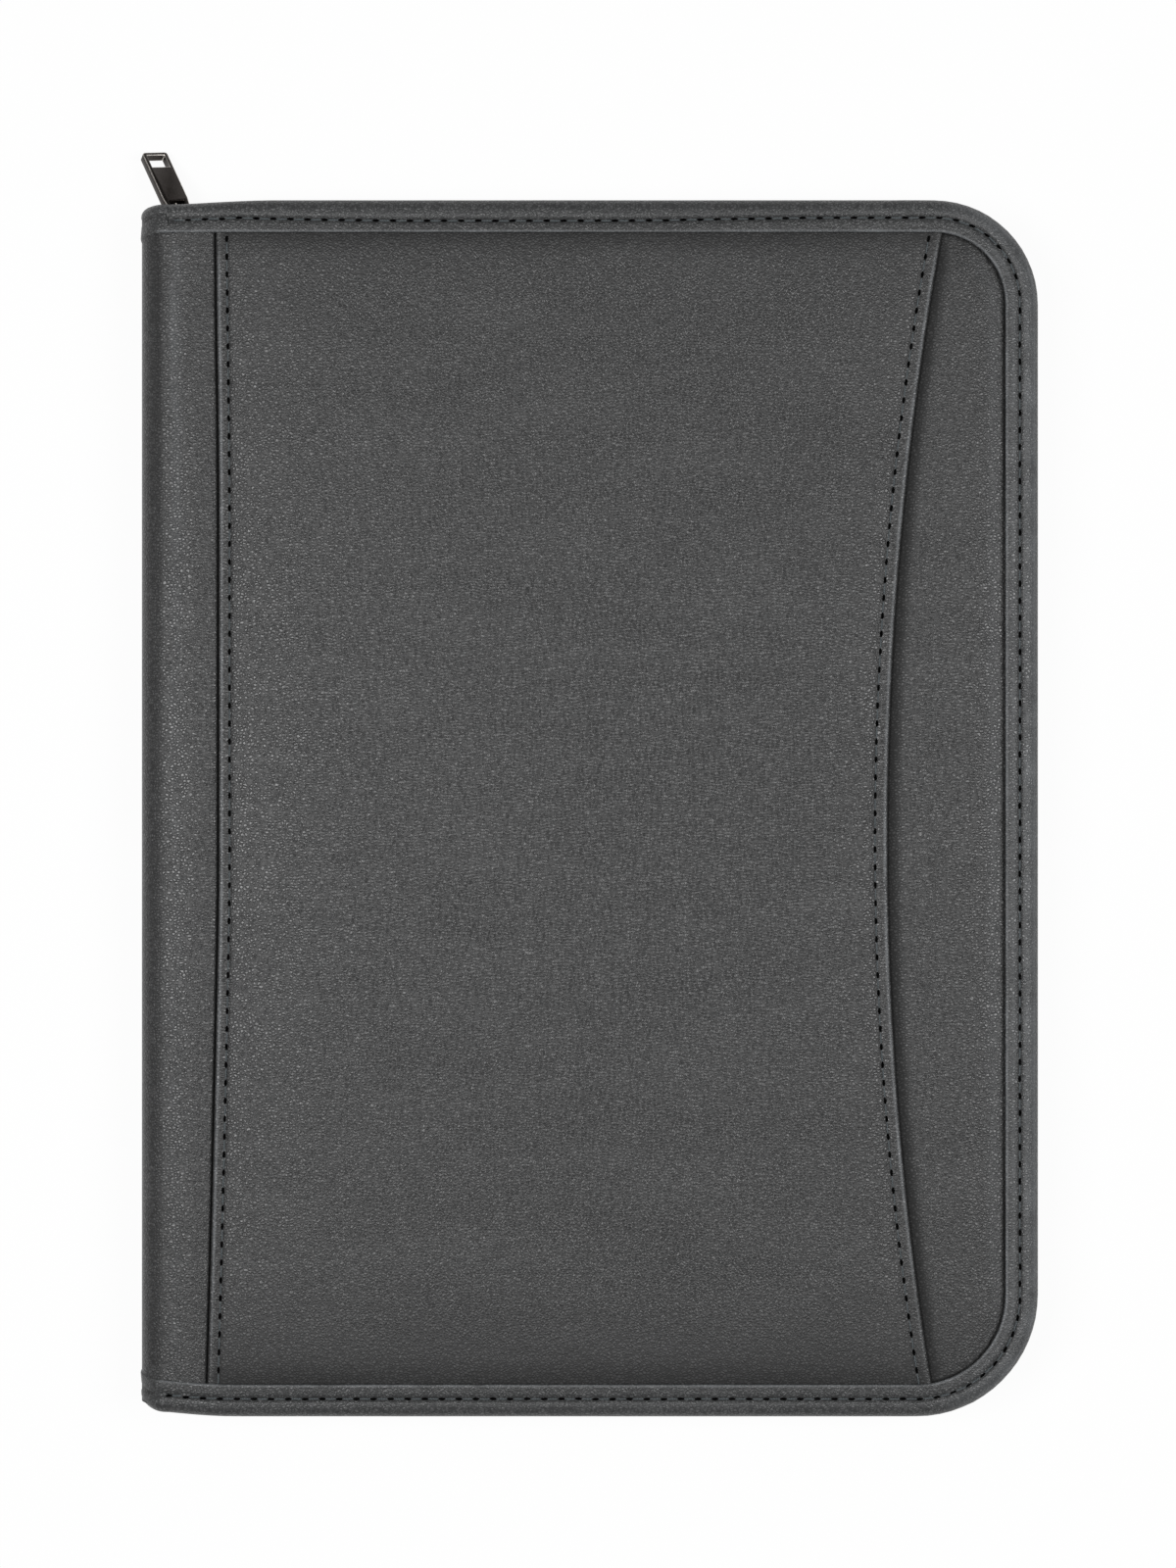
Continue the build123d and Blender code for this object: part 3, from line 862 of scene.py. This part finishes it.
def bind_spine(end_name, side, front):
    """Half of a bound end: the strip's section turned round a fold and run to the spine's middle."""
    node = "spine_binding_" + end_name
    fold_z = front_fold_z if front else back_fold_z
    up = 1 if front else -1
    outline = [(hinge_x + end_lap, side * (half_height - inset), fold_z + up * radius)
               for inset, radius in end_section]
    piece = start_outline(node + ("_front" if front else "_back"), outline)
    extrude(-end_lap, 0, 0)
    bpy.ops.mesh.spin(steps=14, angle=up * math.pi / 2, axis=(0, 1, 0), center=(hinge_x, 0, fold_z))
    extrude(0, 0, middle_z - fold_z)
    bpy.ops.mesh.select_all(action="SELECT")
    bpy.ops.mesh.remove_doubles(threshold=0.0005)
    fill_ends()
    for vertex in piece.data.vertices:
        out = hinge_x - vertex.co.x
        lift = max(up * (vertex.co.z - fold_z), 0)
        inset = half_height - abs(vertex.co.y)
        turn = math.atan2(max(out, 0), lift)
        pulled = (0.85 if inset < 5 else 0.55) * ease(turn) / math.hypot(out, lift)
        slant = 1.4 * inset / leg_width if side > 0 else 1.5
        slant += 0 if front else 0.9 * (1 - inset / leg_width)
        vertex.co.x += pulled * out
        vertex.co.z -= pulled * up * lift
        vertex.co.y -= side * (drawn_in(hinge_x, side, inset) + slant * (1 - math.cos(turn)))
    mark_painted_light_and_wear(piece, binding_light_and_wear)
    settle(piece, binding_lit_leatherette, smooth=60)
    bend(piece, front, node)


for end_name, side in (("upper", 1), ("lower", -1)):
    bind_spine(end_name, side, True)
    bind_spine(end_name, side, False)

# Stitching: grey-black thread in even rows, closer along the bindings than along the panels' hems.
# Each thread lies in a shallow groove and goes down at both ends into a needle hole, drawn as a black disc
# of painted shade.

binding_pitch = 4.8
seam_pitch = 5.05
seam_low = -160.5
seam_count = 64
row_left = -117.0
far_off = 190


def thread(name, dark, light):
    """Twisted sewing thread: short slanted plies along the stitch."""
    dye = Finish(name)
    ply = dye.stripe("DIAGONAL", 900.0)
    lint = dye.speckle(2600.0)
    colour = (0.7 * ply + 0.3 * lint).blend(dark, light)
    return dye.end(colour, 0.55 + 0.2 * lint, ply, 0.00005)


thread_grey = thread("stitch_thread", (0.036, 0.043, 0.047, 1), (0.10, 0.118, 0.126, 1))
# Needle holes: black discs with no reflection, painted shade.
hole_shade = moulded("needle_hole_shade", (0.001, 0.001, 0.001, 1), (0.003, 0.003, 0.003, 1), 0.8,
                     Specular_IOR_Level=0.0)


def model_stitch(pitch):
    """One stitch along X: a flattened thread and a black disc of painted shade for its needle hole."""
    strand = new_mesh(bpy.ops.mesh.primitive_cylinder_add, vertices=6, radius=0.22, depth=pitch - 1.5,
                      rotation=(0, math.pi / 2, 0), location=(0, 0, -0.02))
    divide((1, 0, 0), -0.9, 0.9)
    for vertex in strand.data.vertices:
        if abs(vertex.co.x) > 1.0:
            vertex.co.z -= 0.3
            vertex.co.y *= 0.6
    strand.data.materials.append(thread_grey)
    hole = new_mesh(bpy.ops.mesh.primitive_cylinder_add, vertices=10, radius=0.5, depth=0.3,
                    location=(pitch / 2, 0, 0.02), scale=(1.9, 0.74, 1))
    hole.data.materials.append(hole_shade)
    pick(strand)
    bpy.ops.object.join()
    return bpy.context.object


def sew_row(name, seats, pitch, body, slot, down=False):
    """One row of stitches at its seats, turned over on a face that looks down."""
    pattern = model_stitch(pitch)
    if down:
        turn_over(pattern)
    piece = repeat(name, pattern, seats)
    bpy.data.objects.remove(pattern)
    fit(piece, None, body, slot)


def binding_seats(z, flip):
    """Seats of the stitches in the binding's groove, each a little out of line."""
    seats = []
    for index in range(220):
        x, y, heading = along_edge(stitch_inset, row_left, 2.0 + index * binding_pitch)
        if x > row_left + 0.5:
            shift = math.copysign(drawn_in(x, y, stitch_inset), y)
            lift = flip * (wave_at(x, y) - tail_drop(x + binding_pitch / 2))
            seats.append((x, y - shift, z + lift, heading + 0.07 * drift(x, y, 3)))
    return seats


def heading_of(curve, y):
    return math.atan2(1, (curve(y + 1) - curve(y - 1)) / 2)


def seam_line(y):
    return seam_x + hem_offset + seam_stitch + seam_sway(y)


def mouth_line(y):
    return mouth_x(y) - mouth_stitch


def hem_seats(line, left, right):
    """Seats of a hem's stitches, by their distances from the pocket panel's two hems."""
    seats = []
    for y in seam_rows:
        x = line(y)
        height = pocket_height(left, right, depth_inside(min(x, 90), y, binding_width))
        seats.append((x, y, height + 0.12, heading_of(line, y)))
    return seats


def back_seam_seat(y):
    x = seam_line(y)
    return x, y, back_field(x, y) + 0.02, heading_of(seam_line, y)


seam_rows = [seam_low + index * seam_pitch for index in range(seam_count)]
front_seats = binding_seats(z=25.42, flip=1)
back_seats = binding_seats(z=0.58, flip=-1)
seam_seats = hem_seats(seam_line, seam_stitch, far_off)
mouth_seats = hem_seats(mouth_line, far_off, mouth_stitch)
back_seam_seats = [back_seam_seat(y) for y in seam_rows]
sew_row("front_binding_stitches", front_seats, binding_pitch, "front_cover", "binding_leatherette")
sew_row("back_binding_stitches", back_seats, binding_pitch, "back_cover", "binding_leatherette", down=True)
sew_row("front_seam_stitches", seam_seats, seam_pitch, "front_cover", "cover_leatherette")
sew_row("pocket_mouth_stitches", mouth_seats, seam_pitch, "front_cover", "cover_leatherette")
sew_row("back_seam_stitches", back_seam_seats, seam_pitch, "back_cover", "cover_leatherette", down=True)

# Slider, bail, ring, pull tab and end stops: die-cast zinc with a dark gunmetal plating.
# The plating is worn bright along the edges but not round the tab's eye, where the ring holds it.


def gunmetal(name, dark, light, gloss):
    """Dark plating, slightly brown, with faint brush marks and handling marks."""
    dye = Finish(name)
    brushed = dye.add("Mapping", {"Vector": dye.place, "Scale": (1.0, 0.06, 1.0)})
    brush = dye.speckle(2400.0, place=brushed)
    smear = dye.speckle(260.0, 3.0)
    colour = (0.5 * brush + 0.5 * smear).between(0.3, 0.7).blend(dark, light)
    return dye.end(colour, gloss + 0.15 * smear, brush, 0.000008, Metallic=1.0)


plating = gunmetal("zipper_metal", (0.034, 0.029, 0.026, 1), (0.052, 0.045, 0.041, 1), 0.30)
worn_edge = gunmetal("zipper_metal_edge", (0.62, 0.58, 0.54, 1), (0.85, 0.81, 0.76, 1), 0.38)


def cast(node, body, bevel):
    """A metal piece of the zipper: its CAD form with its edges rounded and worn bright."""
    deselect()
    piece = bpy.data.objects[node].copy()
    piece.data = piece.data.copy()
    piece.name = node + "_casting"
    for key in list(piece.keys()):
        del piece[key]
    bpy.context.collection.objects.link(piece)
    pick(piece)
    piece.parent = None
    open_mesh()
    bpy.ops.mesh.remove_doubles(threshold=0.000004)
    bpy.ops.mesh.dissolve_limited(angle_limit=math.radians(2))
    bpy.ops.mesh.normals_make_consistent()
    close_mesh()
    dress(piece, plating)
    piece.data.materials.append(worn_edge)
    for face in piece.data.polygons:
        face.material_index = 0
    edge = piece.modifiers.new("light_and_wear", "BEVEL")
    edge.width = bevel
    edge.segments = 2
    edge.limit_method = "ANGLE"
    edge.angle_limit = math.radians(35)
    edge.material = 1
    bpy.ops.object.modifier_apply(modifier="light_and_wear")
    bpy.ops.object.shade_smooth_by_angle(angle=math.radians(35))
    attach(piece, body)
    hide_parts(node)
    return piece


cast("slider_body", "slider", bevel=0.00018)
cast("slider_bail", "slider", bevel=0.00022)
cast("pull_ring", "pull_ring", bevel=0.00022)
pull_tab = cast("pull_tab", "pull_tab", bevel=0.00022)
tab_eye = Vector((-0.11735, 0.17132, 0.01187))
eye_reach = 0.0032
for face in pull_tab.data.polygons:
    if (face.center - tab_eye).length < eye_reach:
        face.material_index = 0
for side in ("back", "front"):
    cast(side + "_zipper_stops", side + "_cover", bevel=0.00015)

# Writing pad: white sheets on a grey backing board, held along the top by a glued cloth strip.
# The cut edges of the sheets don't quite line up, and the board stays as the CAD has it.

pad_left, pad_right, pad_bottom, pad_top = -104.45, 111.55, -145.0, 135.0
sheets_low, sheets_high = 6.9, 11.4
leaf_count = 15
strip_lap = 16.0


def paper(name, white, edge_tint):
    """Writing paper: almost flat white, with the cut edges of the sheets as fine lines."""
    dye = Finish(name)
    height = dye.add("SeparateXYZ", {"Vector": dye.place}, out="Z")
    leaves = dye.stripe("Z", 1900.0, 1.0)
    fibre = dye.speckle(700.0, 4.0)
    side_face = 1 - height.between(0.01130, 0.01136)
    colour = (side_face * leaves * 0.6 + 0.15 * fibre).blend(white, edge_tint)
    return dye.end(colour, 0.75 + 0.1 * fibre, fibre, 0.00002)


pad_white = paper("pad_paper", (0.83, 0.82, 0.78, 1), (0.55, 0.53, 0.48, 1))
pad_grey = chipboard("pad_cardboard", (0.30, 0.27, 0.23, 1), (0.42, 0.38, 0.33, 1))
dress(bpy.data.objects["pad_backing_board"], pad_grey)

leaf_thickness = (sheets_high - sheets_low) / leaf_count
leaf_size = (pad_right - pad_left - 0.5, pad_top - pad_bottom - 0.5, leaf_thickness - 0.02)
leaf = new_mesh(bpy.ops.mesh.primitive_cube_add, size=1, scale=leaf_size)
leaf_seats = []
for index in range(leaf_count):
    leaf_x = (pad_left + pad_right) / 2 + 0.2 * drift(index * 1.7, 0.3, 0.1)
    leaf_y = (pad_bottom + pad_top) / 2 + 0.2 * drift(index * 2.3, 5.1, 0.1)
    leaf_seats.append((leaf_x, leaf_y, sheets_low + (index + 0.5) * leaf_thickness, 0))
pad_stack = repeat("pad_sheet_stack", leaf, leaf_seats)
bpy.data.objects.remove(leaf)
fit(pad_stack, pad_white, "back_cover", "pad_paper", "pad_sheets")


def lay_cloth(name, node, columns, rows, place, thickness, finish, body, slot):
    """Thin sheet: a laid grid thickened towards what it lies on, in place of its CAD node."""
    piece = lay_grid(name, columns, rows, place)
    thicken = piece.modifiers.new("thicken", "SOLIDIFY")
    thicken.thickness = thickness
    thicken.offset = -1 if body == "back_cover" else 1
    bpy.ops.object.modifier_apply(modifier="thicken")
    fit(piece, finish, body, slot, node)
    return piece


def lay_strip(column, run):
    """The strip lies on the top sheet, turns over its edge and runs down the end of the stack."""
    turn = 0.35
    angle = min(max(run - strip_lap, 0) / turn, math.pi / 2)
    down = max(run - strip_lap - turn * math.pi / 2, 0)
    y = pad_top - strip_lap + min(run, strip_lap) + turn * math.sin(angle) - 0.05
    return column, y, sheets_high + 0.28 - turn * (1 - math.cos(angle)) - down


strip_cloth = woven("pad_strip_cloth", (0.03, 0.03, 0.035, 1), (0.07, 0.07, 0.08, 1), 0.0005, 0.6)
strip_columns = spread(pad_left + 0.1, pad_right - 0.1, 9, (0,))
strip_runs = [0, 2, 6, 11, 15, 16, 16.14, 16.28, 16.42, 16.55, 17.5, 19, 20.5]
pad_strip = lay_cloth("pad_strip_tape", "pad_binding_strip", strip_columns, strip_runs, lay_strip, 0.25,
                      strip_cloth, "back_cover", "pad_paper")

# Pad sleeve: a leatherette pocket sewn to the back lining, for the pad's backing board.
# It is flat over the board, falls to the lining beyond it, and is open along its top edge.

pocket_black = leatherette("pocket_leatherette", (0.014, 0.0142, 0.0145, 1), (0.050, 0.051, 0.052, 1), 0.34)
sleeve_left, sleeve_right, sleeve_bottom, sleeve_top = -105.85, 115.5, -149.0, 51.0
sleeve_corner, sleeve_z, sleeve_fall = 10.0, 6.86, 0.76


def span_at(y, left, right, bottom, radius):
    """Left and right ends of a pocket with rounded bottom corners, at a height y."""
    tuck = round_off(bottom + radius - y, radius)
    return left + tuck, right - tuck


def lay_sleeve(column, row):
    left, right = span_at(row, sleeve_left, sleeve_right, sleeve_bottom, sleeve_corner)
    x = left + (right - left) * column
    beyond = max(pad_left - x, x - pad_right, pad_bottom - row, 0)
    return x, row, sleeve_z - sleeve_fall * ease(beyond / 1.8)


sleeve_columns = spread(0, 1, 0.06, (0, 0.003, 0.006, 0.01), (0, 0.004, 0.008, 0.012, 0.016, 0.02))
sleeve_rows = spread(sleeve_bottom, sleeve_top, 12, (0, 0.3, 1, 2, 3, 4, 5.5, 7.5, 10), (0,))
pad_sleeve = lay_cloth("pad_sleeve_sheet", "pad_sleeve", sleeve_columns, sleeve_rows, lay_sleeve, 0.5,
                       pocket_black, "back_cover", "pocket_leatherette")

# Pen loop: a band of black elastic bent to a round loop, sewn to the back lining by its two ends.
# It stands open beside the pad, with no pen in it.

elastic_black = woven("elastic_cloth", (0.012, 0.012, 0.013, 1), (0.04, 0.04, 0.042, 1), 0.0009, 0.65)
loop_x, loop_z, loop_radius, loop_wall = -111.45, 11.0, 5.5, 0.5
loop_y, loop_half = 60.0, 12.0
loop_outer = arc(loop_x, loop_z, loop_radius, -78, 258, 30)
loop_inner = arc(loop_x, loop_z, loop_radius - loop_wall, -78, 258, 30)
lining_z = 5.52
right_foot = [(loop_x + 0.5, lining_z + 0.6), (loop_x + 0.5, lining_z), (loop_x + 5.2, lining_z),
              (loop_x + 5.2, lining_z + 0.45), (loop_x + 2.6, lining_z + 0.45)]
left_foot = [(2 * loop_x - x, z) for x, z in reversed(right_foot)]
loop_section = right_foot + loop_outer[2:-2] + left_foot + loop_inner[1:-1][::-1]
pen_loop = draw_out("pen_loop_band", loop_section, loop_y - loop_half, loop_y + loop_half, cuts=23)
for vertex in pen_loop.data.vertices:
    waist = 0.35 * (1 - ((vertex.co.y - loop_y) / loop_half) ** 2) * ease((vertex.co.z - 7) / 3)
    vertex.co.x += waist * (0.5 if vertex.co.x < loop_x else -0.5)
fit(pen_loop, elastic_black, "back_cover", "elastic_cloth", "pen_loop")

# Document pocket: a wide leatherette pocket sewn to the front lining, with its slanted mouth hemmed.
# It bellies a little away from the lining between its sewn sides.

pocket_left, pocket_bottom, pocket_width = -104.4, -158.1, 213.9
pocket_low, pocket_rise, pocket_corner = 189.9, 25.0, 21.2
inner_z = 19.0


def lay_document(column, row):
    """Place on the document pocket by its share of the width and of the height."""
    left, right = span_at(pocket_bottom + row * pocket_low, pocket_left, pocket_left + pocket_width,
                          pocket_bottom, pocket_corner)
    x = left + (right - left) * column
    y = pocket_bottom + row * (pocket_low + pocket_rise * (x - pocket_left) / pocket_width)
    belly = 0.5 * ease(column / 0.2) * ease((1 - column) / 0.2) * ease(row / 0.25)
    turned = 0.2 * ease((row - 0.957) / 0.003)
    return x, y, inner_z + 0.1 - belly - turned


document_columns = spread(0, 1, 0.05, (0, 0.02, 0.05, 0.1))
document_rows = spread(0, 1, 0.05, (0, 0.002, 0.006, 0.014, 0.026, 0.042, 0.06, 0.082, 0.11, 0.15),
                       (0, 0.02, 0.035, 0.04, 0.043, 0.046, 0.06, 0.1))
document_pocket = lay_cloth("document_pocket_sheet", "document_pocket", document_columns, document_rows,
                            lay_document, 0.45, pocket_black, "front_cover", "pocket_leatherette")
document_seats = []
for index in range(40):
    x, y, z = lay_document(0.03 + 0.94 * index / 39, 0.972)
    document_seats.append((x, y, z - 0.05, math.atan2(pocket_rise, pocket_width)))
sew_row("document_mouth_stitches", document_seats, seam_pitch, "front_cover", "pocket_leatherette",
        down=True)

# Card slots: three stepped leatherette strips sewn over one another to the front lining.
# Each is hemmed along its mouth, with a row of stitches through the hem.

slot_width, slot_height, slot_step, slot_top, slot_layer = 103.9, 57.9, 18.0, 158.1, 0.6
slot_columns = spread(0, 1, 0.08, (0, 0.03, 0.08, 0.14))
slot_rows = spread(0, 1, 0.12, (0, 0.1), (0, 0.06, 0.1, 0.105, 0.115, 0.12, 0.16))
slot_seats = []
for step, slot_name in enumerate(("card_slot_upper", "card_slot_middle", "card_slot_lower")):
    def lay_slot(column, row, step=step):
        """Place on a card slot by its share of the width and height, each slot a step down and out."""
        belly = 0.12 * ease(column / 0.2) * ease((1 - column) / 0.2)
        turned = 0.12 * ease((row - 0.88) / 0.015)
        y = slot_top - slot_height * (1 - row) - slot_step * step
        return pocket_left + slot_width * column, y, inner_z + 0.15 - belly - turned - slot_layer * step

    card_slot = lay_cloth(slot_name + "_sheet", slot_name, slot_columns, slot_rows, lay_slot, 0.4,
                          pocket_black, "front_cover", "pocket_leatherette")
    for index in range(19):
        x, y, z = lay_slot(0.06 + 0.88 * index / 18, 0.93)
        slot_seats.append((x, y, z - 0.05, 0))
sew_row("card_slot_stitches", slot_seats, seam_pitch, "front_cover", "pocket_leatherette", down=True)

# Studio: a pale floor under two large softboxes, left and right of overhead.
# The floor is almost plain white to the camera and in reflections, and still takes a soft shadow.
# None of it is a piece of the padfolio.

deselect()
bpy.ops.mesh.primitive_plane_add(size=40, location=(0, 0, -0.0004))
floor = bpy.context.object
floor.name = "studio_floor"
floor_white = bpy.data.materials.new("studio_floor_white")
floor_white.use_nodes = True
floor_tree = floor_white.node_tree
floor_dye = Dye(floor_tree)
floor_shader = floor_tree.nodes["Principled BSDF"]
floor_shader.inputs["Base Color"].default_value = (0.86, 0.86, 0.86, 1)
floor_shader.inputs["Roughness"].default_value = 0.9
glow = floor_dye.add("Emission", {"Color": (1, 1, 1, 1), "Strength": 1.0})
seen = floor_dye.add("LightPath", {}, out="Is Camera Ray")
mirrored = floor_dye.add("LightPath", {}, out="Is Glossy Ray")
bare = Dye(floor_tree, floor_shader.outputs[0])
mixed = floor_dye.add("MixShader", {0: (seen + mirrored) * 0.94, 1: bare, 2: glow})
floor_tree.links.new(mixed.socket, floor_tree.nodes["Material Output"].inputs["Surface"])
floor.data.materials.append(floor_white)


def hold(name, thing, place):
    """Puts a lamp or a camera at a place in the scene."""
    holder = bpy.data.objects.new(name, thing)
    holder.location = place
    bpy.context.collection.objects.link(holder)
    return holder


def softbox(name, place, power):
    """Area light of 45 by 55 cm, turned to the middle of the case."""
    lamp = bpy.data.lights.new(name, "AREA")
    lamp.shape = "RECTANGLE"
    lamp.size = 0.45
    lamp.size_y = 0.55
    lamp.energy = power
    holder = hold(name, lamp, place)
    holder.rotation_euler = (-Vector(place)).to_track_quat("-Z", "Y").to_euler()


softbox("softbox_left", (-0.52, 0.0, 1.15), 9.6)
softbox("softbox_right", (0.62, 0.0, 1.10), 8.0)
world = bpy.data.worlds.new("studio_air")
world.use_nodes = True
air = world.node_tree.nodes["Background"]
air.inputs["Color"].default_value = (1, 1, 1, 1)
air.inputs["Strength"].default_value = 0.12
bpy.context.scene.world = world

# Camera: straight above the case, at the distance that gives the photograph's perspective.
# Its lens is fitted to the height of the frame, and the case lies a little below the frame's middle.

lens = bpy.data.cameras.new("overhead_camera")
lens.sensor_fit = "VERTICAL"
lens.sensor_height = 36.0
lens.lens = 73.56
bpy.context.scene.camera = hold("overhead_camera", lens, (-0.00015, 0.00685, 0.926))
bpy.context.scene.view_settings.view_transform = "Standard"
